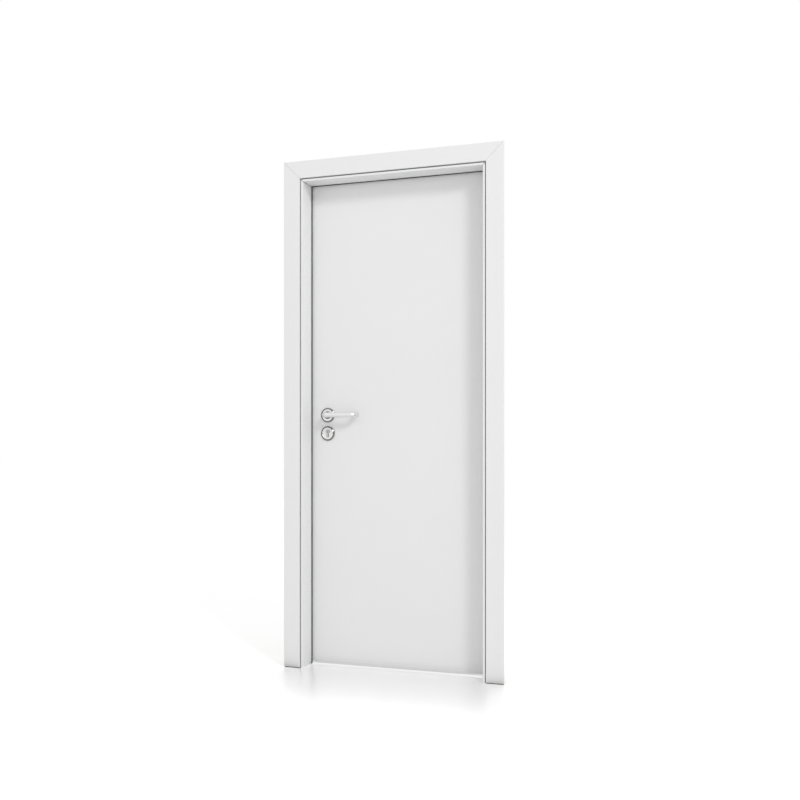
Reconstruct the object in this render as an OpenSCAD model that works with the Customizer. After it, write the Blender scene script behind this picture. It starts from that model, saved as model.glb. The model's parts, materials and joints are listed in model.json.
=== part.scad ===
// Prehung interior door: a flush leaf in a rebated frame, with casings on the near side.
// The origin is on the hinge jamb's wall face, at floor level, in the plane of the wall's near face.
// +X points out of the hinge jamb into the wall, +Y through the wall to the side the leaf opens to.

/* [Doorway] */
// Clear width between the jambs' reveal faces
clear_w = 800; // [600:10:1000]
// Clear height from the floor to the head's reveal face
clear_h = 2100; // [1900:10:2300]
// Thickness of the wall that the frame lines
wall_t = 125; // [95:1:200]

/* [Frame] */
// Thickness of a jamb from its reveal face to the wall
jamb_t = 44; // [42:1:60]
// How far a jamb's edge stands proud of the wall's face
jamb_proud = 7; // [3:0.5:10]
// Width of the lip between the reveal face and the casing slot
lip_w = 9; // [6:0.5:12]
// Width of a casing slot
slot_w = 10; // [8:0.5:12]
// Depth of the near casing slot below the wall's face
slot_deep = 18; // [12:1:30]
// Depth of the far casing slot from the jamb's far edge
far_slot_deep = 11; // [6:0.5:12]
// How far the leaf overlaps the reveal on the hinge side and at the head
overlap = 12; // [8:0.5:16]
// Small chamfer on the visible edges of jambs and stops
jamb_arris = 0.8; // [0.2:0.1:1.5]

/* [Casing] */
// Visible width of a casing board
casing_w = 74; // [60:1:110]
// Thickness of a casing board
casing_t = 12; // [10:0.5:18]
// Open groove between the jamb's lip and the casing
groove_w = 5; // [2:0.5:5]
// Depth of the casing's tongue behind the wall's face
tongue_deep = 15; // [8:1:17]
// Chamfer along a casing's front edges
casing_arris = 1.2; // [0.2:0.1:3]
// Depth of the relief along a casing's back
relief_deep = 1; // [0.5:0.5:3]
// Distance from the jamb's wall face to the relief
relief_off = 2; // [1:0.5:6]
// Width of the land between the relief and the casing's outer edge
land_w = 10; // [6:1:20]
// Height of the upright casings' feet above the floor
casing_foot = 3; // [0:0.5:10]

/* [Seal] */
// Space between the rebate's shoulder and the leaf, which the seal fills
seal_gap = 10; // [5:0.5:12]
// Width of the seal's bulb
seal_w = 7.4; // [6.4:0.2:9]
// How far the bulb stands out of the reveal face
seal_proud = 2.4; // [0.5:0.1:2.4]
// Thickness of the seal's stem, which sits in a kerf
stem_t = 2.4; // [1.6:0.1:3]
// Depth of the seal's stem
stem_deep = 6; // [4:0.5:8]
// Distance from the stem to the bulb's outer side
stem_side = 0.5; // [0.2:0.1:1]
// Free space between the seal and the closed leaf
seal_free = 0.4; // [0.3:0.1:1]
// Height of the seals' lower ends above the floor
seal_foot = 2; // [0.5:0.5:10]

/* [Leaf] */
// Thickness of the leaf
leaf_t = 40; // [35:1:50]
// Thickness of a skin
skin_t = 3.2; // [3:0.1:6]
// Gap between the leaf and the frame on the hinge side and at the head
leaf_gap = 5; // [4:0.5:6]
// Gap between the leaf and the frame on the lock side
lock_gap = 6.5; // [5:0.5:8]
// Gap between the leaf and the floor
floor_gap = 12; // [5:1:15]
// Width of the lock stile
lock_stile_w = 130; // [125:1:160]
// Width of the hinge stile
hinge_stile_w = 45; // [35:1:80]
// Height of the top rail
top_rail_h = 60; // [40:1:120]
// Height of the bottom rail
bottom_rail_h = 80; // [40:1:160]

/* [Hinges] */
// Height of a hinge
hinge_h = 100; // [80:1:120]
// Reach of a hinge plate into the rebate
plate_w = 30; // [22:1:33]
// Thickness of a hinge plate
plate_t = 2.5; // [2:0.1:3]
// Radius of a hinge knuckle
knuckle_r = 6.5; // [5:0.1:7]
// Distance of the pin's centre from the leaf's far face
pin_out = 8; // [7.5:0.1:12]
// Radius of a hinge pin
pin_r = 3; // [2:0.1:4]
// Space between two knuckles
knuckle_gap = 0.4; // [0.2:0.1:0.8]
// Height of the cap at each end of a pin
pin_cap_h = 4; // [2:0.5:8]
// Height of the lower hinge's foot above the floor
lower_hinge_z = 230; // [150:5:350]
// Distance from the upper hinge's top to the leaf's top
upper_hinge_drop = 180; // [120:5:300]

/* [Lock] */
// Height of the lever's axis above the floor
lever_z = 1093; // [900:1:1150]
// Distance of the lever's axis from the leaf's lock edge
backset = 86; // [70:1:90]
// Distance between the lever's axis and the cylinder's centre
lock_centres = 72; // [70:1:92]
// Depth of the lock case from the leaf's edge
case_deep = 112; // [105:1:120]
// Height of the lock case
case_h = 165; // [150:1:190]
// Thickness of the lock case
case_t = 16; // [12:1:18]
// Height of the forend plate
forend_h = 235; // [200:1:260]
// Width of the forend plate
forend_w = 20; // [18:1:24]
// Thickness of the forend plate
forend_t = 3; // [2:0.5:4]
// Height of the strike plate
strike_h = 170; // [150:1:200]
// Width of the strike plate
strike_w = 24; // [22:1:26]
// Thickness of the strike plate
strike_t = 2; // [1.5:0.5:3]
// Space round a bolt in the strike plate, along the wall's thickness
strike_side = 1.5; // [0.5:0.5:3]
// Space over and under a bolt in the strike plate
strike_end = 2; // [0.5:0.5:4]
// Depth of the bolts' pockets behind the rebate face
pocket_deep = 18; // [14:1:22]
// Height of the latch bolt
latch_h = 22; // [16:1:26]
// Height of the latch bolt's middle above the lever's axis
latch_up = 6; // [0:1:12]
// Height of the dead bolt
dead_bolt_h = 30; // [20:1:35]
// Height of the dead bolt's underside above the case's foot
dead_bolt_up = 5.5; // [3:0.5:10]
// Thickness of both bolts
bolt_t = 11; // [8:0.5:12]
// How far the drawn-back bolts stand out of the forend
bolt_proud = 0.5; // [0:0.1:1]
// Length of a bolt inside the case
bolt_len = 30; // [20:1:40]
// Radius of the cylinder's round part
cylinder_r = 8.5; // [8:0.1:9]
// Overall height of the cylinder's profile
cylinder_h = 33; // [30:0.5:34]
// Width of the cylinder's lower lobe
cylinder_lobe_w = 10; // [9:0.1:11]
// How far the cylinder's ends stand out of the key roses
cylinder_proud = 1; // [0:0.5:3]
// Radius of the plug that the key turns
plug_r = 6.4; // [5.5:0.1:7]
// Width of the fine groove round the plug
plug_groove = 0.5; // [0.2:0.1:0.8]
// Depth of the fine groove round the plug
plug_groove_deep = 1; // [0.5:0.5:2]
// Width of the keyway
key_slot_w = 2; // [1:0.5:3]
// Height of the keyway
key_slot_h = 9; // [6:0.5:10]
// Depth of the keyway
key_slot_deep = 14; // [8:1:20]

/* [Lever set] */
// Diameter of a rose
rose_d = 63; // [50:0.5:70]
// Thickness of a rose
rose_t = 8; // [5:0.5:12]
// Width of a key rose's raised rim, inside the slope
key_rim_w = 2; // [1:0.5:5]
// Depth of a key rose's face below its rim
key_rim_deep = 1.5; // [0.5:0.1:3]
// Width of the slope round a rose's face
rose_slope_w = 6; // [2:0.5:8]
// Height of the slope round a rose's face
rose_slope_h = 4; // [1:0.5:4.5]
// Diameter of the lever's round bar
lever_d = 23; // [16:0.5:24]
// Distance from the lever's axis to the middle of its returned end
lever_len = 140; // [110:1:160]
// Distance from the leaf's face to the middle of the grip
lever_out = 52; // [45:1:65]
// Radius of the bar's bends along its middle
lever_bend = 15; // [12:0.5:25]
// Space between the returned end and the leaf's face
return_gap = 18; // [10:1:30]
// Side of the square spindle
spindle_a = 8; // [7:0.5:10]
// Depth of the spindle in each lever
spindle_in = 20; // [12:1:30]
// Radius of the spindle's hole across the leaf's boards
spindle_hole_r = 11; // [8:0.5:14]
// Radius of the spindle's hole in the lock case
case_hole_r = 6.3; // [6:0.1:9]

/* [Clearances] */
// Clearance between fixed pieces that fit in each other
fit = 0.3; // [0.1:0.1:0.5]
// Radial clearance of the pins and of the spindle in the levers
running = 0.05; // [0.02:0.01:0.1]
// Hairline at a mitre, on each side of its plane
mitre_gap = 0.3; // [0.05:0.05:0.4]
// Open joint between two stops at a top corner, on each side of the mitre's plane
stop_joint = 1; // [0.1:0.1:1.5]

/* [Hidden] */
$fn = 64;

// Depths, along Y
near_y = -jamb_proud;
far_y = wall_t + jamb_proud;
leaf_far = far_y;
leaf_near = leaf_far - leaf_t;
shoulder_y = leaf_near - seal_gap;
leaf_mid = (leaf_near + leaf_far) / 2;

// Distances outward from the reveal face
rebate = overlap + leaf_gap;
slot_out = lip_w + slot_w;
casing_in = lip_w + groove_w;
far_slot_in = rebate + lip_w;
far_slot_out = far_slot_in + slot_w;
stem_in = seal_w - seal_proud - stem_side - stem_t;

// Places along X from the middle of the doorway, and heights
half_w = clear_w / 2;
hinge_edge = half_w + overlap;
lock_edge = lock_gap - half_w - rebate;

leaf_top = clear_h + overlap;

pin_x = hinge_edge + leaf_gap / 2;
pin_y = leaf_far + pin_out;
lever_x = lock_edge + backset;
key_z = lever_z - lock_centres;
lobe_r = cylinder_lobe_w / 2;
key_rose_z = key_z + cylinder_r - cylinder_h / 2;
knuckles = 5;
knuckle_h = hinge_h / knuckles;
upper_hinge_z = leaf_top - upper_hinge_drop - hinge_h;
middle_hinge_z = (lower_hinge_z + upper_hinge_z) / 2;
forend_z = (lever_z + key_z) / 2;
latch_z = lever_z + latch_up;
dead_bolt_z = forend_z - case_h / 2 + dead_bolt_up + dead_bolt_h / 2;
strike_z = (latch_z + dead_bolt_z) / 2;

// Reach of a cut beyond the faces that it opens, and of the mitres' cutting blocks
past = 1;
block = 400;

white = [0.93, 0.93, 0.92];
wood = [0.82, 0.72, 0.56];
steel = [0.72, 0.73, 0.74];
dark = [0.16, 0.16, 0.17];

// Moves a piece from the middle of the doorway to the part's origin
module in_doorway() {
  translate([-half_w - jamb_t, 0, 0]) children();
}

// In each section x runs outward from the reveal face, y through the wall

// A jamb's section: the board behind the stop, with a slot in its far edge
module jamb_section() {
  difference() {
    polygon([
      [rebate, 0], [jamb_t, 0], [jamb_t, wall_t],
      [far_slot_out, wall_t], [far_slot_out, far_y - far_slot_deep],
      [far_slot_in, far_y - far_slot_deep], [far_slot_in, far_y - jamb_arris / 2],
      [far_slot_in - jamb_arris / 2, far_y],
      [rebate + jamb_arris, far_y], [rebate, far_y - jamb_arris]
    ]);
    translate([lip_w, -past]) square([slot_w, slot_deep + past]);
  }
}

// A stop's section: the board that makes the reveal, with a lip in front and a kerf for the seal
module stop_section() {
  difference() {
    polygon([
      [0, near_y + jamb_arris], [jamb_arris, near_y],
      [lip_w - jamb_arris / 2, near_y], [lip_w, near_y + jamb_arris / 2],
      [lip_w, slot_deep], [rebate, slot_deep], [rebate, shoulder_y], [0, shoulder_y]
    ]);
    translate([stem_in - fit, shoulder_y - stem_deep - fit])
      square([stem_t + 2 * fit, stem_deep + fit + past]);
  }
}

// A casing's section: a board relieved on its back, with a tongue behind its inner edge
module casing_section() {
  casing_out = casing_in + casing_w;
  land_in = casing_out - land_w;
  relief_in = jamb_t + relief_off;
  polygon([
    [casing_in, casing_arris - casing_t], [casing_in + casing_arris, -casing_t],
    [casing_out - casing_arris, -casing_t], [casing_out, casing_arris - casing_t],
    [casing_out, 0], [land_in, 0], [land_in, -relief_deep],
    [relief_in, -relief_deep], [relief_in, 0],
    [slot_out - fit, 0], [slot_out - fit, tongue_deep], [casing_in, tongue_deep]
  ]);
}

// A seal's section: a round-nosed bulb with a stem
module seal_section() {
  nose_r = seal_w / 2;
  nose_y = leaf_near - seal_free - nose_r;
  translate([-seal_proud, shoulder_y]) square([seal_w, nose_y - shoulder_y]);
  translate([nose_r - seal_proud, nose_y]) circle(r = nose_r);
  translate([stem_in, shoulder_y - stem_deep]) square([stem_t, stem_deep + past]);
}

// Half-space beyond the mitre plane, which leans outward from the head's inner corner
module beyond_mitre(above, gap) {
  translate([half_w, 0, clear_h]) rotate([0, -45, 0])
    translate([-block, -block, above ? -gap : gap - 2 * block]) cube(2 * block);
}

// An upright member on the hinge side, cut to the mitre
module upright(foot = 0, gap = mitre_gap) {
  difference() {
    translate([half_w, 0, foot]) linear_extrude(clear_h + block / 2 - foot) children();
    beyond_mitre(true, gap);
  }
}

// The member across the head, cut to both mitres
module head_member(gap = mitre_gap) {
  reach = half_w + block / 2;
  difference() {
    translate([-reach, 0, clear_h]) mirror([0, 0, 1]) rotate([0, 90, 0])
      linear_extrude(2 * reach) children();
    beyond_mitre(false, gap);
    mirror([1, 0, 0]) beyond_mitre(false, gap);
  }
}

// A hinge plate's pocket, in the jamb or in the leaf's edge
module plate_pocket(x, z) {
  translate([x, leaf_far - plate_w, z]) cube([plate_t, plate_w + past, hinge_h]);
}

// One bolt's space in the strike plate and behind it
module strike_pocket(z, h) {
  wide = bolt_t + 2 * strike_side;
  tall = h + 2 * strike_end;
  translate([-half_w - rebate - pocket_deep, leaf_mid - wide / 2, z - tall / 2])
    cube([pocket_deep + past, wide, tall]);
}

module hinge_jamb() {
  color(white) in_doorway() difference() {
    upright() jamb_section();
    for (z = [lower_hinge_z, middle_hinge_z, upper_hinge_z]) plate_pocket(half_w + rebate, z);
  }
}

module strike_jamb() {
  color(white) in_doorway() difference() {
    mirror([1, 0, 0]) upright() jamb_section();
    translate([-half_w - rebate - strike_t, leaf_mid - strike_w / 2, strike_z - strike_h / 2])
      cube([strike_t + past, strike_w, strike_h]);
    strike_pocket(latch_z, latch_h);
    strike_pocket(dead_bolt_z, dead_bolt_h);
  }
}

module head_jamb() { color(white) in_doorway() head_member() jamb_section(); }

module hinge_stop() { color(white) in_doorway() upright(0, stop_joint) stop_section(); }

module strike_stop() {
  color(white) in_doorway() mirror([1, 0, 0]) upright(0, stop_joint) stop_section();
}

module head_stop() { color(white) in_doorway() head_member(stop_joint) stop_section(); }

module casing_hinge_side() { color(white) in_doorway() upright(casing_foot) casing_section(); }

module casing_strike_side() {
  color(white) in_doorway() mirror([1, 0, 0]) upright(casing_foot) casing_section();
}

module casing_head() { color(white) in_doorway() head_member() casing_section(); }

module seal_hinge_side() { color(dark) in_doorway() upright(seal_foot) seal_section(); }

module seal_strike_side() {
  color(dark) in_doorway() mirror([1, 0, 0]) upright(seal_foot) seal_section();
}

module seal_head() { color(dark) in_doorway() head_member() seal_section(); }

module strike_plate() {
  color(steel) in_doorway() difference() {
    translate([-half_w - rebate - strike_t, leaf_mid - strike_w / 2, strike_z - strike_h / 2])
      cube([strike_t, strike_w, strike_h]);
    strike_pocket(latch_z, latch_h);
    strike_pocket(dead_bolt_z, dead_bolt_h);
  }
}

// A hinge plate with the knuckles that start at first, one of every two
module hinge_plate(x, first, z) {
  translate([0, 0, z]) difference() {
    union() {
      translate([x, leaf_far - plate_w, 0]) cube([plate_t, plate_w, hinge_h]);
      for (k = [first:2:knuckles - 1]) {
        low = k * knuckle_h + knuckle_gap / 2;
        tall = knuckle_h - knuckle_gap;
        translate([x, leaf_far - past, low]) cube([plate_t, pin_out + past, tall]);
        translate([pin_x, pin_y, low]) cylinder(r = knuckle_r, h = tall);
      }
    }
    translate([pin_x, pin_y, -past]) cylinder(r = pin_r + running, h = hinge_h + 2 * past);
  }
}

module frame_plate(z) { color(steel) in_doorway() hinge_plate(half_w + rebate, 0, z); }

module leaf_plate(z) { color(steel) in_doorway() hinge_plate(hinge_edge - plate_t, 1, z); }

module hinge_pin(z) {
  color(steel) in_doorway() translate([pin_x, pin_y, z]) {
    translate([0, 0, -pin_cap_h]) cylinder(r = knuckle_r, h = pin_cap_h);
    translate([0, 0, -past]) cylinder(r = pin_r, h = hinge_h + 2 * past);
    translate([0, 0, hinge_h]) cylinder(r = knuckle_r, h = pin_cap_h);
  }
}

module upper_hinge_frame_plate() { frame_plate(upper_hinge_z); }
module middle_hinge_frame_plate() { frame_plate(middle_hinge_z); }
module lower_hinge_frame_plate() { frame_plate(lower_hinge_z); }
module upper_hinge_leaf_plate() { leaf_plate(upper_hinge_z); }
module middle_hinge_leaf_plate() { leaf_plate(middle_hinge_z); }
module lower_hinge_leaf_plate() { leaf_plate(lower_hinge_z); }
module upper_hinge_pin() { hinge_pin(upper_hinge_z); }
module middle_hinge_pin() { hinge_pin(middle_hinge_z); }
module lower_hinge_pin() { hinge_pin(lower_hinge_z); }

// A cylinder profile along Y, grown by a clearance
module cylinder_profile(from_y, to_y, grow = 0) {
  translate([lever_x, to_y, key_z]) rotate([90, 0, 0]) linear_extrude(to_y - from_y) {
    circle(r = cylinder_r + grow);
    translate([0, cylinder_r - cylinder_h + lobe_r]) circle(r = lobe_r + grow);
    translate([-lobe_r - grow, cylinder_r - cylinder_h + lobe_r])
      square([2 * (lobe_r + grow), cylinder_h - cylinder_r - lobe_r]);
  }
}

// The space of the lock case and its forend in the lock stile
module lock_mortise() {
  translate([lock_edge - past, leaf_mid - case_t / 2 - fit, forend_z - case_h / 2 - fit])
    cube([case_deep + past + fit, case_t + 2 * fit, case_h + 2 * fit]);
  translate([lock_edge - past, leaf_mid - forend_w / 2, forend_z - forend_h / 2])
    cube([forend_t + past, forend_w, forend_h]);
}

// Holes across the leaf for the spindle and the cylinder
module furniture_holes() {
  translate([lever_x, leaf_near - past, lever_z]) rotate([-90, 0, 0])
    cylinder(r = spindle_hole_r, h = leaf_t + 2 * past);
  cylinder_profile(leaf_near - past, leaf_far + past, fit);
}

// A board of the leaf, over the given stretch of width, depth and height
module leaf_board(x0, x1, y0, y1, z0, z1) {
  translate([x0, y0, z0]) cube([x1 - x0, y1 - y0, z1 - z0]);
}

module leaf_plate_pockets() {
  for (z = [lower_hinge_z, middle_hinge_z, upper_hinge_z]) plate_pocket(hinge_edge - plate_t, z);
}

module front_skin() {
  color(white) in_doorway() difference() {
    leaf_board(lock_edge, hinge_edge, leaf_near, leaf_near + skin_t, floor_gap, leaf_top);
    furniture_holes();
  }
}

module back_skin() {
  color(white) in_doorway() difference() {
    leaf_board(lock_edge, hinge_edge, leaf_far - skin_t, leaf_far, floor_gap, leaf_top);
    furniture_holes();
    leaf_plate_pockets();
  }
}

// A board between the two skins
module inner_board(x0, x1, z0, z1) {
  leaf_board(x0, x1, leaf_near + skin_t, leaf_far - skin_t, z0, z1);
}

module lock_stile() {
  color(white) in_doorway() difference() {
    inner_board(lock_edge, lock_edge + lock_stile_w, floor_gap, leaf_top);
    lock_mortise();
    furniture_holes();
  }
}

module hinge_stile() {
  color(white) in_doorway() difference() {
    inner_board(hinge_edge - hinge_stile_w, hinge_edge, floor_gap, leaf_top);
    leaf_plate_pockets();
  }
}

module top_rail() {
  color(white) in_doorway()
    inner_board(lock_edge + lock_stile_w, hinge_edge - hinge_stile_w, leaf_top - top_rail_h, leaf_top);
}

module bottom_rail() {
  color(white) in_doorway()
    inner_board(lock_edge + lock_stile_w, hinge_edge - hinge_stile_w, floor_gap, floor_gap + bottom_rail_h);
}

module leaf_core() {
  color(wood) in_doorway()
    inner_board(lock_edge + lock_stile_w, hinge_edge - hinge_stile_w,
      floor_gap + bottom_rail_h, leaf_top - top_rail_h);
}

// A bolt drawn back into the case
module bolt(z, h) {
  translate([lock_edge - bolt_proud, leaf_mid - bolt_t / 2, z - h / 2])
    cube([bolt_proud + forend_t + bolt_len, bolt_t, h]);
}

// A bolt's channel through the forend and into the case
module bolt_channel(z, h) {
  translate([lock_edge - past, leaf_mid - bolt_t / 2 - fit, z - h / 2 - fit])
    cube([past + forend_t + bolt_len + fit, bolt_t + 2 * fit, h + 2 * fit]);
}

module lock_case() {
  color(steel) in_doorway() difference() {
    translate([lock_edge + forend_t, leaf_mid - case_t / 2, forend_z - case_h / 2])
      cube([case_deep - forend_t, case_t, case_h]);
    bolt_channel(latch_z, latch_h);
    bolt_channel(dead_bolt_z, dead_bolt_h);
    translate([lever_x, leaf_near, lever_z]) rotate([-90, 0, 0]) cylinder(r = case_hole_r, h = leaf_t);
    cylinder_profile(leaf_near, leaf_far, fit);
  }
}

module lock_forend() {
  color(steel) in_doorway() difference() {
    translate([lock_edge, leaf_mid - forend_w / 2, forend_z - forend_h / 2])
      cube([forend_t, forend_w, forend_h]);
    bolt_channel(latch_z, latch_h);
    bolt_channel(dead_bolt_z, dead_bolt_h);
  }
}

module latch_bolt() { color(steel) in_doorway() bolt(latch_z, latch_h); }

module dead_bolt() { color(steel) in_doorway() bolt(dead_bolt_z, dead_bolt_h); }

// The keyway and the ring round the plug, cut into a cylinder end at y
module key_face(y) {
  translate([lever_x - key_slot_w / 2, y - key_slot_deep, key_z - key_slot_h / 2])
    cube([key_slot_w, 2 * key_slot_deep, key_slot_h]);
  translate([lever_x, y, key_z]) rotate([90, 0, 0]) difference() {
    cylinder(r = plug_r, h = 2 * plug_groove_deep, center = true);
    cylinder(r = plug_r - plug_groove, h = 2 * plug_groove_deep + past, center = true);
  }
}

module lock_cylinder() {
  end_out = rose_t + cylinder_proud;
  color(steel) in_doorway() difference() {
    cylinder_profile(leaf_near - end_out, leaf_far + end_out);
    key_face(leaf_near - end_out);
    key_face(leaf_far + end_out);
  }
}

// A round plate's half section, standing on y = 0, with a slope round its face
module rose_section(rim, deep) {
  r = rose_d / 2;
  face_r = r - rose_slope_w;
  difference() {
    polygon([[0, 0], [r, 0], [r, rose_t - rose_slope_h], [face_r, rose_t], [0, rose_t]]);
    if (deep > 0) translate([-past, rose_t - deep]) square([face_r - rim + past, deep + past]);
  }
}

// A rose on the leaf's near face, turned about the axis at height z
module rose_at(z, rim, deep) {
  translate([lever_x, leaf_near, z]) rotate([90, 0, 0]) rotate_extrude() rose_section(rim, deep);
}

module lever_rose() {
  difference() {
    rose_at(lever_z, 0, 0);
    translate([lever_x, leaf_near + past, lever_z]) rotate([90, 0, 0])
      cylinder(r = lever_d / 2 + fit, h = rose_t + 2 * past);
  }
}

module key_rose() {
  difference() {
    rose_at(key_rose_z, key_rim_w, key_rim_deep);
    cylinder_profile(leaf_near - rose_t - past, leaf_near + past, fit);
  }
}

// Repeats a near-side piece on the leaf's far side
module far_side() { translate([0, 2 * leaf_mid, 0]) mirror([0, 1, 0]) children(); }

module front_rose() { color(steel) in_doorway() lever_rose(); }
module back_rose() { color(steel) in_doorway() far_side() lever_rose(); }
module front_key_rose() { color(steel) in_doorway() key_rose(); }
module back_key_rose() { color(steel) in_doorway() far_side() key_rose(); }

// A quarter bend of the bar in the XY plane, from heading -Y to heading +X, ending at the origin
module bar_bend() {
  translate([0, lever_bend, 0]) rotate([0, 0, 180]) rotate_extrude(angle = 90)
    translate([lever_bend, 0]) circle(d = lever_d);
}

// A lever on the near side: out of the rose, along the leaf and back towards it
module lever() {
  leg = lever_out - lever_bend;
  translate([lever_x, leaf_near, lever_z]) difference() {
    union() {
      translate([0, -fit, 0]) rotate([90, 0, 0]) cylinder(d = lever_d, h = leg - fit);
      translate([lever_bend, -lever_out, 0]) bar_bend();
      translate([lever_bend, -lever_out, 0]) rotate([0, 90, 0])
        cylinder(d = lever_d, h = lever_len - 2 * lever_bend);
      translate([lever_len - lever_bend, -lever_out, 0]) mirror([1, 0, 0]) bar_bend();
      translate([lever_len, -return_gap, 0]) rotate([90, 0, 0])
        cylinder(d = lever_d, h = leg - return_gap);
    }
    socket = spindle_a + 2 * running;
    translate([-socket / 2, -spindle_in - fit, -socket / 2]) cube([socket, spindle_in + past, socket]);
  }
}

module front_lever() { color(steel) in_doorway() lever(); }
module back_lever() { color(steel) in_doorway() far_side() lever(); }

module spindle() {
  color(steel) in_doorway()
    translate([lever_x - spindle_a / 2, leaf_near - spindle_in, lever_z - spindle_a / 2])
      cube([spindle_a, leaf_t + 2 * spindle_in, spindle_a]);
}

hinge_jamb();
strike_jamb();
head_jamb();
hinge_stop();
strike_stop();
head_stop();
casing_hinge_side();
casing_strike_side();
casing_head();
seal_hinge_side();
seal_strike_side();
seal_head();
strike_plate();
upper_hinge_frame_plate();
middle_hinge_frame_plate();
lower_hinge_frame_plate();
upper_hinge_pin();
middle_hinge_pin();
lower_hinge_pin();
upper_hinge_leaf_plate();
middle_hinge_leaf_plate();
lower_hinge_leaf_plate();
front_skin();
back_skin();
lock_stile();
hinge_stile();
top_rail();
bottom_rail();
leaf_core();
lock_case();
lock_forend();
latch_bolt();
dead_bolt();
lock_cylinder();
front_rose();
back_rose();
front_key_rose();
back_key_rose();
front_lever();
back_lever();
spindle();
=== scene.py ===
# Prehung interior door: finishes, small fittings, studio and camera
import json
import math

import bpy
from mathutils import Matrix, Vector

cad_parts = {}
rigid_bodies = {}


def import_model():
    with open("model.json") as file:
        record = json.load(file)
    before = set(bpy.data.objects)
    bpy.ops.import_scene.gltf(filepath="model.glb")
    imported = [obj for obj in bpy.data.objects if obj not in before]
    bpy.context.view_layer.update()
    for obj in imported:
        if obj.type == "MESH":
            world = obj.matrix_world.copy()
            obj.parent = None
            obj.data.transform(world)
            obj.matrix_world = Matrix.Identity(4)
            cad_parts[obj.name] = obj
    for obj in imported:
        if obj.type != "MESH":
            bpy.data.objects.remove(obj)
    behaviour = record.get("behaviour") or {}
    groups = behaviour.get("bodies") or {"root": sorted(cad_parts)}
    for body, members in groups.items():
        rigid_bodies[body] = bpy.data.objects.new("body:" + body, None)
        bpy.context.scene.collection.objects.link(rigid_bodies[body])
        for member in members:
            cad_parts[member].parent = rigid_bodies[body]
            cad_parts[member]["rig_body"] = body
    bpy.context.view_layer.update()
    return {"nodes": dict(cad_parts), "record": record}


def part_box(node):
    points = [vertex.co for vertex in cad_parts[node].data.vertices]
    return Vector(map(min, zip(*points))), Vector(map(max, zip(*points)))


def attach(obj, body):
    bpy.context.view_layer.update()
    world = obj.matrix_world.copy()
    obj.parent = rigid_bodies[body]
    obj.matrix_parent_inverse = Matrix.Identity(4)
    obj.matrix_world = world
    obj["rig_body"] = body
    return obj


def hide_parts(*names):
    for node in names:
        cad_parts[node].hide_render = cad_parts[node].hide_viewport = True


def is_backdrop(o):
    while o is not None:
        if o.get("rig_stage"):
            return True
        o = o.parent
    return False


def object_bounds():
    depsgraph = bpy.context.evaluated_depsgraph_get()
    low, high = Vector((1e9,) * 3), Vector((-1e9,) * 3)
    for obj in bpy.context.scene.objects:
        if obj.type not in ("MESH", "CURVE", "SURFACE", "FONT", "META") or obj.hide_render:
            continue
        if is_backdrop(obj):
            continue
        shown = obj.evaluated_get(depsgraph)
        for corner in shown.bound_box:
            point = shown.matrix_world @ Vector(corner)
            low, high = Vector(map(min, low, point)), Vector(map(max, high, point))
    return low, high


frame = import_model()
nodes = frame["nodes"]
print("frame loaded:", len(nodes), "nodes")

# Faces and places that the fittings take from the frame
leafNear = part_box("front_skin")[0].y
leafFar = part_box("back_skin")[1].y
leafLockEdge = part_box("lock_stile")[0].x
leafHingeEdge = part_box("hinge_stile")[1].x
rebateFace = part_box("hinge_jamb")[0].x
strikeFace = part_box("strike_plate")[1].x
doorMiddle = (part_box("hinge_jamb")[1].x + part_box("strike_jamb")[0].x) / 2


# Object helpers

def deselectAll():
    if bpy.context.object and bpy.context.object.mode != "OBJECT":
        bpy.ops.object.mode_set(mode="OBJECT")
    bpy.ops.object.select_all(action="DESELECT")


def activate(piece):
    deselectAll()
    piece.select_set(True)
    bpy.context.view_layer.objects.active = piece


def editAll(piece, selectMode="VERT"):
    activate(piece)
    bpy.ops.object.mode_set(mode="EDIT")
    bpy.ops.mesh.select_mode(type=selectMode)
    bpy.ops.mesh.select_all(action="SELECT")


def leaveEdit():
    bpy.ops.object.mode_set(mode="OBJECT")


def applyPlace(piece):
    activate(piece)
    bpy.ops.object.transform_apply(location=True, rotation=True, scale=True)


def applyModifier(piece, kind, **settings):
    activate(piece)
    modifier = piece.modifiers.new(kind.lower(), kind)
    for key, value in settings.items():
        setattr(modifier, key, value)
    bpy.ops.object.modifier_apply(modifier=modifier.name)


def roundEdges(piece, width, segments=3, angle=35):
    applyModifier(piece, "BEVEL", width=width, segments=segments, limit_method="ANGLE",
                  angle_limit=math.radians(angle), harden_normals=False)


def smooth(piece, angle=30):
    activate(piece)
    bpy.ops.object.shade_smooth_by_angle(angle=math.radians(angle))


def cutOut(piece, cutter):
    applyModifier(piece, "BOOLEAN", operation="DIFFERENCE", solver="EXACT", object=cutter)
    bpy.data.objects.remove(cutter)


def finishPiece(piece, name, body, material):
    piece.name = name
    piece.data.name = name
    piece.data.materials.clear()
    piece.data.materials.append(material)
    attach(piece, body)


# Material helpers

def startMaterial(name):
    material = bpy.data.materials.new(name)
    material.use_nodes = True
    return material, material.node_tree, material.node_tree.nodes["Principled BSDF"]


def addNode(tree, kind, **settings):
    node = tree.nodes.new(kind)
    for key, value in settings.items():
        setattr(node, key, value)
    return node


def feed(tree, socket, value):
    if isinstance(value, bpy.types.NodeSocket):
        tree.links.new(value, socket)
    else:
        socket.default_value = value


def calculate(tree, operation, first, second=0.0):
    node = addNode(tree, "ShaderNodeMath", operation=operation)
    feed(tree, node.inputs[0], first)
    feed(tree, node.inputs[1], second)
    return node.outputs[0]


def objectCoordinates(tree, stretch=(1, 1, 1)):
    coordinates = addNode(tree, "ShaderNodeTexCoord")
    mapping = addNode(tree, "ShaderNodeMapping")
    mapping.inputs["Scale"].default_value = stretch
    tree.links.new(coordinates.outputs["Object"], mapping.inputs["Vector"])
    return mapping.outputs["Vector"]


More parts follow.
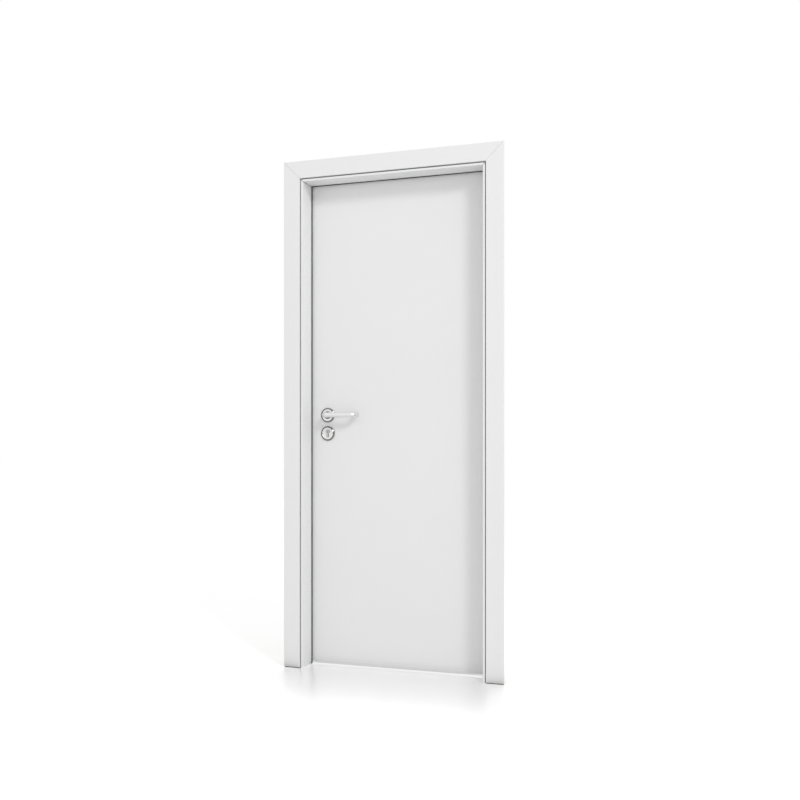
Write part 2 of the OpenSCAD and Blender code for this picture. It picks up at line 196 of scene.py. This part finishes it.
def noise(tree, scale, detail=2.0, stretch=(1, 1, 1)):
    node = addNode(tree, "ShaderNodeTexNoise")
    tree.links.new(objectCoordinates(tree, stretch), node.inputs["Vector"])
    node.inputs["Scale"].default_value = scale
    node.inputs["Detail"].default_value = detail
    return node.outputs["Fac"]


def remap(tree, value, low, high):
    node = addNode(tree, "ShaderNodeMapRange")
    tree.links.new(value, node.inputs["Value"])
    node.inputs["To Min"].default_value = low
    node.inputs["To Max"].default_value = high
    return node.outputs["Result"]


def mixColours(tree, factor, first, second):
    node = addNode(tree, "ShaderNodeMix", data_type="RGBA")
    feed(tree, node.inputs["Factor"], factor)
    feed(tree, node.inputs["A"], first)
    feed(tree, node.inputs["B"], second)
    return node.outputs["Result"]


def bump(tree, shader, height, distance, strength=1.0):
    node = addNode(tree, "ShaderNodeBump")
    tree.links.new(height, node.inputs["Height"])
    node.inputs["Distance"].default_value = distance
    node.inputs["Strength"].default_value = strength
    tree.links.new(node.outputs["Normal"], shader.inputs["Normal"])


def grey(level):
    return (level, level, level, 1.0)


def ramp(tree, value, start, end, first=0.0, last=1.0):
    node = addNode(tree, "ShaderNodeMapRange", interpolation_type="SMOOTHSTEP")
    tree.links.new(value, node.inputs["Value"])
    node.inputs["From Min"].default_value = start
    node.inputs["From Max"].default_value = end
    node.inputs["To Min"].default_value = first
    node.inputs["To Max"].default_value = last
    return node.outputs["Result"]


def band(tree, value, low, high, soft):
    # 1 between low and high, 0 outside, with soft sides
    return calculate(tree, "MULTIPLY", ramp(tree, value, low - soft, low),
                     ramp(tree, value, high, high + soft, 1.0, 0.0))


def facingMask(tree, axis, direction, limit):
    # 1 on faces that look along the axis in that direction and lie past the limit
    coordinates = addNode(tree, "ShaderNodeTexCoord")
    place = addNode(tree, "ShaderNodeSeparateXYZ")
    normal = addNode(tree, "ShaderNodeSeparateXYZ")
    tree.links.new(coordinates.outputs["Object"], place.inputs[0])
    tree.links.new(coordinates.outputs["Normal"], normal.inputs[0])
    faces = calculate(tree, "GREATER_THAN",
                      calculate(tree, "MULTIPLY", normal.outputs[axis], direction), 0.5)
    beyond = calculate(tree, "GREATER_THAN",
                       calculate(tree, "MULTIPLY", place.outputs[axis], direction), limit * direction)
    return calculate(tree, "MULTIPLY", faces, beyond)


# Lacquer: near-white satin paint with a faint orange peel, bare fibreboard where it meets the wall
lacquerLook = {
    "toneScale": 2.2,         # slow drift of the tone, waves per metre
    "toneShift": 0.012,
    "peelScale": 380.0,       # orange peel
    "peelHeight": 0.00003,
    "smoothest": 0.30,
    "roughest": 0.42,
    "bareLight": (0.47, 0.35, 0.23, 1.0),
    "bareDark": (0.36, 0.26, 0.17, 1.0),
    "fibreScale": 900.0,
}


def makeLacquer(name, tone, bareSides=()):
    material, tree, shader = startMaterial(name)
    look = lacquerLook
    slow = noise(tree, look["toneScale"], 3.0)
    colour = mixColours(tree, slow, grey(tone - look["toneShift"]), grey(tone + look["toneShift"]))
    peel = noise(tree, look["peelScale"], 1.0)
    roughness = remap(tree, noise(tree, 6.0, 4.0), look["smoothest"], look["roughest"])
    if bareSides:
        bare = facingMask(tree, *bareSides[0])
        for side in bareSides[1:]:
            bare = calculate(tree, "MAXIMUM", bare, facingMask(tree, *side))
        fibre = mixColours(tree, noise(tree, look["fibreScale"], 3.0), look["bareDark"], look["bareLight"])
        colour = mixColours(tree, bare, colour, fibre)
        roughness = calculate(tree, "MAXIMUM", roughness, calculate(tree, "MULTIPLY", bare, 0.85))
    tree.links.new(colour, shader.inputs["Base Color"])
    tree.links.new(roughness, shader.inputs["Roughness"])
    bump(tree, shader, peel, look["peelHeight"])
    shader.inputs["Specular IOR Level"].default_value = 0.4
    return material


# Rubber of the seals, with fine ribs along their length
rubberLook = {"tone": 0.022, "ribScale": 700.0, "ribHeight": 0.0001}


def makeRubber(name):
    material, tree, shader = startMaterial(name)
    ribs = noise(tree, rubberLook["ribScale"], 1.0, (1, 1, 0.02))
    colour = mixColours(tree, ribs, grey(rubberLook["tone"] * 0.7), grey(rubberLook["tone"] * 1.4))
    tree.links.new(colour, shader.inputs["Base Color"])
    tree.links.new(remap(tree, ribs, 0.62, 0.8), shader.inputs["Roughness"])
    bump(tree, shader, ribs, rubberLook["ribHeight"])
    return material


# Satin steel: fine grinding lines along one axis
steelLooks = {
    "lever": {"tone": 0.82, "warm": 1.0, "smoothest": 0.30, "roughest": 0.40, "stretch": (0.03, 1, 1)},
    "hinge": {"tone": 0.58, "warm": 1.0, "smoothest": 0.22, "roughest": 0.36, "stretch": (1, 1, 0.03)},
    "lock": {"tone": 0.56, "warm": 0.99, "smoothest": 0.25, "roughest": 0.40, "stretch": (1, 1, 0.03)},
    "nickel": {"tone": 0.60, "warm": 0.95, "smoothest": 0.18, "roughest": 0.30, "stretch": (1, 1, 0.2)},
}


def makeSteel(name, look, endFaces=None):
    # endFaces are two places along Y, between which the steel is painted dark: painted shade in the keyway recess
    material, tree, shader = startMaterial(name)
    lines = noise(tree, 2600.0, 2.0, look["stretch"])
    cloud = noise(tree, 40.0, 3.0)
    dark = look["tone"] * 0.94
    light = look["tone"] * 1.06
    colour = mixColours(tree, lines, (dark, dark, dark * look["warm"], 1), (light, light, light * look["warm"], 1))
    roughness = calculate(tree, "ADD", remap(tree, lines, look["smoothest"], look["roughest"]),
                          remap(tree, cloud, -0.03, 0.03))
    if endFaces:
        place = addNode(tree, "ShaderNodeSeparateXYZ")
        tree.links.new(objectCoordinates(tree), place.inputs[0])
        # painted shade: a near-black tone between the end faces, where the keyway lies in shade
        below = band(tree, place.outputs["Y"], endFaces[0] + 0.0005, endFaces[1] - 0.0005, 0.0002)
        colour = mixColours(tree, below, colour, grey(look["tone"] * 0.1))
    tree.links.new(colour, shader.inputs["Base Color"])
    tree.links.new(roughness, shader.inputs["Roughness"])
    bump(tree, shader, lines, 0.00001)
    shader.inputs["Metallic"].default_value = 1.0
    return material


# Roses: a satin face with a polished slope round it, whose dark tone is painted dark reflection and shade, and a dark
# ring of painted shadow round the neck
roseLook = {
    "faceRadius": 0.0255,     # inside the slope
    "faceTone": 0.80,
    "rimShadeTone": 0.20,
    "edgeSoft": 0.0004,
    "rimRoughness": 0.12,
    "smoothest": 0.16,
    "roughest": 0.28,
    "neckShadowRadius": 0.017,
}


def makeRoseSteel(name, nodeName, neckShadowRadius):
    material, tree, shader = startMaterial(name)
    look = roseLook
    faceRadius = look["faceRadius"]
    low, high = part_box(nodeName)
    coordinates = addNode(tree, "ShaderNodeTexCoord")
    centred = addNode(tree, "ShaderNodeMapping")
    centred.inputs["Location"].default_value = (-(low.x + high.x) / 2, 0, -(low.z + high.z) / 2)
    tree.links.new(coordinates.outputs["Object"], centred.inputs["Vector"])
    parts = addNode(tree, "ShaderNodeSeparateXYZ")
    tree.links.new(centred.outputs["Vector"], parts.inputs[0])
    across = calculate(tree, "POWER", calculate(tree, "ADD", calculate(tree, "POWER", parts.outputs["X"], 2.0),
                                                calculate(tree, "POWER", parts.outputs["Z"], 2.0)), 0.5)
    # painted dark reflection and shade: the slope outside the face gets a dark tone; its low roughness is the real
    # polish
    paintedShadeMask = ramp(tree, across, faceRadius, faceRadius + look["edgeSoft"])
    # painted shadow of the neck: a dark ring on the face round it
    if neckShadowRadius:
        paintedNeckShadow = ramp(tree, across, neckShadowRadius - look["edgeSoft"], neckShadowRadius, 1.0, 0.0)
        paintedShadeMask = calculate(tree, "MAXIMUM", paintedShadeMask, paintedNeckShadow)
    lines = noise(tree, 2600.0, 2.0, (0.03, 1, 1))
    face = mixColours(tree, lines, grey(look["faceTone"] * 0.95), grey(look["faceTone"] * 1.05))
    dark = mixColours(tree, noise(tree, 60.0, 3.0), grey(look["rimShadeTone"] * 0.9), grey(look["rimShadeTone"] * 1.1))
    tree.links.new(mixColours(tree, paintedShadeMask, face, dark), shader.inputs["Base Color"])
    roughness = addNode(tree, "ShaderNodeMix")
    tree.links.new(paintedShadeMask, roughness.inputs["Factor"])
    tree.links.new(remap(tree, lines, look["smoothest"], look["roughest"]), roughness.inputs["A"])
    roughness.inputs["B"].default_value = look["rimRoughness"]
    tree.links.new(roughness.outputs["Result"], shader.inputs["Roughness"])
    bump(tree, shader, lines, 0.00001)
    shader.inputs["Metallic"].default_value = 1.0
    return material


def makeCoreBoard(name):
    material, tree, shader = startMaterial(name)
    chips = addNode(tree, "ShaderNodeTexVoronoi")
    tree.links.new(objectCoordinates(tree), chips.inputs["Vector"])
    chips.inputs["Scale"].default_value = 220.0
    colour = mixColours(tree, chips.outputs["Distance"], (0.62, 0.48, 0.31, 1), (0.80, 0.67, 0.48, 1))
    tree.links.new(colour, shader.inputs["Base Color"])
    bump(tree, shader, chips.outputs["Distance"], 0.0003)
    shader.inputs["Roughness"].default_value = 0.9
    return material


hair = 0.0005
wallFaces = (
    ("X", 1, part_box("hinge_jamb")[1].x - hair),
    ("X", -1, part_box("strike_jamb")[0].x + hair),
    ("Z", 1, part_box("head_jamb")[1].z - hair),
)
casingBacks = (("Y", 1, -0.002),)

materials = {
    "frame_lacquer": makeLacquer("frame_white_lacquer", 0.80, wallFaces),
    "casing_lacquer": makeLacquer("casing_white_lacquer", 0.80, casingBacks),
    "leaf_lacquer": makeLacquer("leaf_white_lacquer", 0.80),
    "core_board": makeCoreBoard("core_filling_board"),
    "seal_rubber": makeRubber("dark_seal_rubber"),
    "hinge_steel": makeSteel("satin_hinge_steel", steelLooks["hinge"]),
    "lock_steel": makeSteel("satin_lock_steel", steelLooks["lock"]),
    "cylinder_nickel": makeSteel("satin_cylinder_nickel", steelLooks["nickel"],
                                 [corner.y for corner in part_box("lock_cylinder")]),
    "lever_steel": makeSteel("satin_lever_steel", steelLooks["lever"]),
}

for row in frame["record"]["subparts"]:
    mesh = nodes[row["node"]].data
    mesh.materials.clear()
    mesh.materials.append(materials[row["material_slot"]])
print("materials set")


# Metal parts with their edges broken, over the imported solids
def dressNode(nodeName, slotName, edge, segments=3):
    piece = bpy.data.objects.new(nodeName + "_dressed", nodes[nodeName].data.copy())
    bpy.context.scene.collection.objects.link(piece)
    activate(piece)
    bpy.ops.mesh.customdata_custom_splitnormals_clear()
    editAll(piece)
    bpy.ops.mesh.remove_doubles(threshold=0.000002)
    bpy.ops.mesh.dissolve_limited(angle_limit=math.radians(0.4))
    leaveEdit()
    roundEdges(piece, edge, segments)
    smooth(piece)
    body = nodes[nodeName]["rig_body"]
    finishPiece(piece, piece.name, body, materials[slotName])
    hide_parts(nodeName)
    return piece


dressed = {
    "strike_plate": ("lock_steel", 0.0004),
    "lock_forend": ("lock_steel", 0.0004),
    "latch_bolt": ("lock_steel", 0.0003),
    "dead_bolt": ("lock_steel", 0.0003),
    "lock_cylinder": ("cylinder_nickel", 0.0002),
}
for place in ("upper", "middle", "lower"):
    dressed[place + "_hinge_frame_plate"] = ("hinge_steel", 0.0003)
    dressed[place + "_hinge_leaf_plate"] = ("hinge_steel", 0.0003)
    dressed[place + "_hinge_pin"] = ("hinge_steel", 0.0009)
for nodeName, (slotName, edge) in dressed.items():
    dressNode(nodeName, slotName, edge)

roseSteels = {
    "upper": makeRoseSteel("rose_steel_upper", "front_rose", roseLook["neckShadowRadius"]),
    "lower": makeRoseSteel("rose_steel_lower", "front_key_rose", 0),
}
for nodeName in ("front_rose", "back_rose", "front_key_rose", "back_key_rose"):
    piece = dressNode(nodeName, "lever_steel", 0.0005)
    piece.data.materials[0] = roseSteels["lower" if "key" in nodeName else "upper"]
print("metal parts dressed:", len(dressed) + 4)


# Levers: a round bar swept out of the rose, along the leaf and back towards it
leverShape = {
    "sides": 64,
    "bendRadius": 0.015,      # along the bar's middle
    "bendSteps": 20,
    "endRound": 0.0016,
    "tipBack": 0.018,         # free space between the returned end and the leaf
    "grubRadius": 0.0024,
    "grubDeep": 0.0006,       # the screw's face lies this far under the bar's surface
    "grubOut": 0.0135,        # from the leaf's face, clear of the rose
    "socketRadius": 0.0013,
    "socketDepth": 0.0012,
}


def makeLever(nodeName):
    low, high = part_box(nodeName)
    shape = leverShape
    radius = (high.z - low.z) / 2
    middle = (high.z + low.z) / 2
    out = -1 if low.y < leafNear else 1
    rootY = high.y if out < 0 else low.y
    gripY = low.y + radius if out < 0 else high.y - radius
    rootX = low.x + radius
    tipX = high.x - radius
    bend = shape["bendRadius"]
    straight = abs(gripY - rootY) - bend
    leafFace = leafNear if out < 0 else leafFar
    bpy.ops.mesh.primitive_circle_add(vertices=shape["sides"], radius=radius, fill_type="NOTHING",
                                      location=(rootX, rootY, middle), rotation=(math.pi / 2, 0, 0))
    piece = bpy.context.object
    applyPlace(piece)
    editAll(piece)
    bpy.ops.mesh.extrude_region_move(TRANSFORM_OT_translate={"value": (0, out * straight, 0)})
    bpy.ops.mesh.spin(steps=shape["bendSteps"], angle=-out * math.pi / 2, axis=(0, 0, -1),
                      center=(rootX + bend, gripY - out * bend, middle))
    bpy.ops.mesh.extrude_region_move(TRANSFORM_OT_translate={"value": (tipX - rootX - 2 * bend, 0, 0)})
    bpy.ops.mesh.spin(steps=shape["bendSteps"], angle=-out * math.pi / 2, axis=(0, 0, -1),
                      center=(tipX - bend, gripY - out * bend, middle))
    tipLength = abs(gripY - leafFace) - bend - shape["tipBack"]
    bpy.ops.mesh.extrude_region_move(TRANSFORM_OT_translate={"value": (0, -out * tipLength, 0)})
    bpy.ops.mesh.select_all(action="SELECT")
    bpy.ops.mesh.remove_doubles(threshold=0.00001)
    bpy.ops.mesh.select_all(action="DESELECT")
    bpy.ops.mesh.select_non_manifold()
    bpy.ops.mesh.edge_face_add()
    bpy.ops.mesh.select_all(action="SELECT")
    bpy.ops.mesh.normals_make_consistent(inside=False)
    leaveEdit()
    roundEdges(piece, shape["endRound"], 4, 60)
    return piece, (rootX, leafFace + out * shape["grubOut"], middle - radius)


def makeGrub(place):
    # a short screw with a hexagon socket, let into the underside of the neck
    shape = leverShape
    bpy.ops.mesh.primitive_circle_add(vertices=40, radius=shape["grubRadius"], fill_type="NGON",
                                      location=(place[0], place[1], place[2] + shape["grubDeep"]))
    piece = bpy.context.object
    applyPlace(piece)
    editAll(piece, "FACE")
    bpy.ops.mesh.extrude_region_move(TRANSFORM_OT_translate={"value": (0, 0, 0.003)})
    leaveEdit()
    roundEdges(piece, 0.0003, 2, 60)
    bpy.ops.mesh.primitive_cylinder_add(vertices=6, radius=shape["socketRadius"], depth=2 * shape["socketDepth"],
                                        location=(place[0], place[1], place[2] + shape["grubDeep"]))
    cutter = bpy.context.object
    applyPlace(cutter)
    cutOut(piece, cutter)
    activate(piece)
    editAll(piece)
    bpy.ops.mesh.normals_make_consistent(inside=False)
    leaveEdit()
    return piece


for nodeName in ("front_lever", "back_lever"):
    piece, grubPlace = makeLever(nodeName)
    bpy.ops.mesh.primitive_cylinder_add(vertices=48, radius=leverShape["grubRadius"] + 0.0002, depth=0.005,
                                        location=grubPlace)
    hole = bpy.context.object
    applyPlace(hole)
    cutOut(piece, hole)
    smooth(piece, 40)
    finishPiece(piece, nodeName + "_bar", "handle", materials["lever_steel"])
    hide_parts(nodeName)
    grub = makeGrub(grubPlace)
    smooth(grub)
    finishPiece(grub, nodeName + "_grub_screw", "handle", materials["lock_steel"])
print("levers made")


# Countersunk screws with a cross slot, modelled once and copied to every plate
screwShape = {
    "headRadius": 0.0046,
    "rimHeight": 0.00022,
    "crownHeight": 0.00050,
    "slotLength": 0.0054,
    "slotWidth": 0.0010,
    "slotEnd": 0.0002,        # what is left under the slot
}
screwPlaces = {
    "hingeFrame": (0.015, 0.038, 0.062, 0.085),
    "hingeAcross": (0.1085, 0.1225, 0.1085, 0.1225),
    "plateEnd": 0.009,
}


def makeScrew():
    shape = screwShape
    bpy.ops.mesh.primitive_circle_add(vertices=48, radius=shape["headRadius"], fill_type="NGON")
    piece = bpy.context.object
    editAll(piece, "FACE")
    bpy.ops.mesh.extrude_region_move(TRANSFORM_OT_translate={"value": (0, 0, shape["rimHeight"])})
    bpy.ops.mesh.inset(thickness=shape["headRadius"] * 0.3, depth=shape["crownHeight"] - shape["rimHeight"])
    leaveEdit()
    editAll(piece)
    bpy.ops.mesh.normals_make_consistent(inside=False)
    leaveEdit()
    roundEdges(piece, 0.00008, 2, 20)
    for long, wide in ((shape["slotLength"], shape["slotWidth"]), (shape["slotWidth"], shape["slotLength"])):
        bpy.ops.mesh.primitive_cube_add(size=1, location=(0, 0, shape["slotEnd"] + 0.001), scale=(long, wide, 0.002))
        cutter = bpy.context.object
        applyPlace(cutter)
        cutOut(piece, cutter)
    smooth(piece)
    return piece


def copyScrew(pattern, name, place, facing, turn, body, slotName):
    # facing is 1 or -1 along X; turn is the slot's angle in degrees
    piece = pattern.copy()
    piece.data = pattern.data.copy()
    bpy.context.scene.collection.objects.link(piece)
    piece.matrix_world = (Matrix.Translation(place) @ Matrix.Rotation(facing * math.pi / 2, 4, "Y")
                          @ Matrix.Rotation(math.radians(turn), 4, "Z"))
    applyPlace(piece)
    finishPiece(piece, name, body, materials[slotName])


pattern = makeScrew()
turns = (12, 57, 31, 78, 5, 44, 66, 23)
count = 0
for place in ("upper", "middle", "lower"):
    for kind, body, facing in (("frame", "frame", -1), ("leaf", "leaf", 1)):
        low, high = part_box(place + "_hinge_" + kind + "_plate")
        plateFace = rebateFace if kind == "frame" else leafHingeEdge
        for index, (up, across) in enumerate(zip(screwPlaces["hingeFrame"], screwPlaces["hingeAcross"])):
            copyScrew(pattern, f"{place}_hinge_{kind}_screw_{index + 1}", (plateFace, across, low.z + up),
                      facing, turns[count % len(turns)], body, "hinge_steel")
            count += 1
for plateName, plateFace, facing, body in (("strike_plate", strikeFace, 1, "frame"),
                                           ("lock_forend", leafLockEdge, -1, "leaf")):
    low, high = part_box(plateName)
    for index, up in enumerate((low.z + screwPlaces["plateEnd"], high.z - screwPlaces["plateEnd"])):
        copyScrew(pattern, f"{plateName}_screw_{index + 1}", (plateFace, (low.y + high.y) / 2, up),
                  facing, turns[count % len(turns)], body, "lock_steel")
        count += 1
bpy.data.objects.remove(pattern)
print("screws placed:", count)


# Studio: a white floor that keeps the shadow and mirrors the door's foot faintly; shade is painted into its tone at the
# door's foot and below the leaf
studio = {
    "floorSize": 60.0,
    "floorTone": 0.95,
    "floorLift": 0.27,        # added for the camera, so that the floor is white
    "nearLift": 0.08,         # what is left of it before the door
    "cornerLift": 0.34,       # and in the corner before the leaf
    "footShadeTone": 0.05,         # painted shade: a dark floor tone close to the door's foot, so that little light comes back up to the leaf's foot
    "leafShade": 0.30,        # painted shade: dims the floor below the leaf
    "footLift": 1.08,
    "mirrorShare": 0.78,
    "mirrorNear": 0.60,       # what is left of the mirroring at the leaf's foot
    "mirrorReach": 0.85,      # how far in front of the door the mirroring fades out
    "mirrorFull": 0.14,       # mirroring up to the leaf's far face
    "mirrorBehind": 0.30,     # and none from here on
    "mirrorRoughness": 0.28,
    "skyStrength": 0.77,
    "sideStrength": 0.10,     # what metal mirrors from the dark boards beside the door
    "keyPlace": (5.55, -5.6, 6.4),
    "keySize": 2.3,
    "keyPower": 290.0,
}

bpy.ops.mesh.primitive_plane_add(size=studio["floorSize"], location=(doorMiddle, 0, 0))
floor = bpy.context.object
floor.name = "studio_floor"
applyPlace(floor)
material, tree, shader = startMaterial("studio_floor")
tree.nodes.remove(shader)
output = tree.nodes["Material Output"]
rays = addNode(tree, "ShaderNodeLightPath")
place = addNode(tree, "ShaderNodeSeparateXYZ")
tree.links.new(objectCoordinates(tree), place.inputs[0])
depth = place.outputs["Y"]
aside = calculate(tree, "ABSOLUTE", calculate(tree, "SUBTRACT", place.outputs["X"], doorMiddle))
beforeLeaf = calculate(tree, "MULTIPLY", band(tree, depth, 0.073, 0.110, 0.005), band(tree, aside, -1.0, 0.41, 0.01))
beforeCasings = calculate(tree, "MULTIPLY", band(tree, depth, -0.035, 0.0, 0.012), band(tree, aside, 0.425, 0.50, 0.02))
atFoot = calculate(tree, "MAXIMUM", beforeLeaf, beforeCasings)
underCasings = calculate(tree, "MULTIPLY", band(tree, depth, -0.0115, 0.02, 0.0005),
                         band(tree, aside, 0.414, 0.4865, 0.0005))
underLeaf = calculate(tree, "MULTIPLY", band(tree, depth, 0.110, 0.14, 0.003), band(tree, aside, -1.0, 0.42, 0.001))
seenFloor = calculate(tree, "SUBTRACT", 1.0, underCasings)
besideLeaf = calculate(tree, "SUBTRACT", 1.0, underLeaf)
# painted shade: the floor's tone goes dark at the door's foot and dims below the leaf; the camera's lift whitens the
# foot strip again
shade = calculate(tree, "MULTIPLY", band(tree, depth, 0.132, 0.160, 0.006), band(tree, aside, -1.0, 0.42, 0.001))
dim = calculate(tree, "MAXIMUM", atFoot, calculate(tree, "MULTIPLY", shade, studio["leafShade"]))
diffuse = addNode(tree, "ShaderNodeBsdfDiffuse")
tree.links.new(mixColours(tree, dim, grey(studio["floorTone"]), grey(studio["footShadeTone"])), diffuse.inputs["Color"])
lift = addNode(tree, "ShaderNodeEmission")
amount = addNode(tree, "ShaderNodeMix")
tree.links.new(atFoot, amount.inputs["Factor"])
before = ramp(tree, depth, -0.55, -0.05, 0.0, studio["nearLift"] - studio["floorLift"])
corner = ramp(tree, depth, -0.02, 0.07, 0.0, studio["cornerLift"] - studio["nearLift"])
ahead = calculate(tree, "MULTIPLY", ramp(tree, depth, 0.106, 0.114, 1.0, 0.0), band(tree, aside, -1.0, 0.44, 0.08))
change = calculate(tree, "MULTIPLY", calculate(tree, "ADD", before, corner), ahead)
tree.links.new(calculate(tree, "ADD", studio["floorLift"], change), amount.inputs["A"])
amount.inputs["B"].default_value = studio["footLift"]
tree.links.new(calculate(tree, "MULTIPLY", rays.outputs["Is Camera Ray"],
                         calculate(tree, "MULTIPLY", amount.outputs["Result"], seenFloor)), lift.inputs["Strength"])
lit = addNode(tree, "ShaderNodeAddShader")
tree.links.new(diffuse.outputs[0], lit.inputs[0])
tree.links.new(lift.outputs[0], lit.inputs[1])
mirror = addNode(tree, "ShaderNodeBsdfGlossy")
mirror.inputs["Color"].default_value = grey(1.0)
mirror.inputs["Roughness"].default_value = studio["mirrorRoughness"]
fade = ramp(tree, depth, -studio["mirrorReach"], 0.0, 0.0, studio["mirrorShare"])
near = ramp(tree, depth, -0.5, 0.04, 1.0, studio["mirrorNear"])
behind = ramp(tree, depth, studio["mirrorFull"], studio["mirrorBehind"], 1.0, 0.0)
seen = rays.outputs["Is Camera Ray"]
for part in (fade, near, behind, seenFloor, besideLeaf):
    seen = calculate(tree, "MULTIPLY", seen, part)
both = addNode(tree, "ShaderNodeMixShader")
tree.links.new(seen, both.inputs[0])
tree.links.new(lit.outputs[0], both.inputs[1])
tree.links.new(mirror.outputs[0], both.inputs[2])
tree.links.new(both.outputs[0], output.inputs["Surface"])
floor.data.materials.append(material)
floor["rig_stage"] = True

world = bpy.data.worlds.new("studio_sky")
bpy.context.scene.world = world
world.use_nodes = True
tree = world.node_tree
sky = tree.nodes["Background"]
sky.inputs["Color"].default_value = grey(1.0)
rays = addNode(tree, "ShaderNodeLightPath")
direction = addNode(tree, "ShaderNodeTexCoord")
parts = addNode(tree, "ShaderNodeSeparateXYZ")
tree.links.new(direction.outputs["Generated"], parts.inputs[0])
outOfPlane = calculate(tree, "ABSOLUTE", parts.outputs["Y"])
above = calculate(tree, "MULTIPLY", calculate(tree, "MAXIMUM", parts.outputs["Z"], 0.0), 0.75)
boards = ramp(tree, calculate(tree, "ADD", outOfPlane, above), 0.30, 0.70, studio["sideStrength"], 1.0)
glossy = addNode(tree, "ShaderNodeMix")
tree.links.new(rays.outputs["Is Glossy Ray"], glossy.inputs["Factor"])
glossy.inputs["A"].default_value = studio["skyStrength"]
tree.links.new(boards, glossy.inputs["B"])
strength = addNode(tree, "ShaderNodeMix")
tree.links.new(rays.outputs["Is Camera Ray"], strength.inputs["Factor"])
tree.links.new(glossy.outputs["Result"], strength.inputs["A"])
strength.inputs["B"].default_value = 1.0
tree.links.new(strength.outputs["Result"], sky.inputs["Strength"])

bpy.ops.object.light_add(type="AREA", location=studio["keyPlace"])
key = bpy.context.object
key.name = "key_light"
key.data.shape = "DISK"
key.data.size = studio["keySize"]
key.data.energy = studio["keyPower"]
aim = Vector((doorMiddle, 0, 1.05)) - key.location
key.rotation_euler = aim.to_track_quat("-Z", "Y").to_euler()
print("studio set")

# Camera: level, turned to the left, with the picture shifted upwards
view = {"place": (0.9958, -3.9691, 0.9833), "turn": 19.400, "lens": 45.3375, "shift": 0.05029}
bpy.ops.object.camera_add(location=view["place"], rotation=(math.pi / 2, 0, math.radians(view["turn"])))
camera = bpy.context.object
camera.data.lens = view["lens"]
camera.data.sensor_width = 36.0
camera.data.shift_y = view["shift"]
bpy.context.scene.camera = camera
bpy.context.scene.view_settings.view_transform = "Standard"
deselectAll()

low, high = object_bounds()
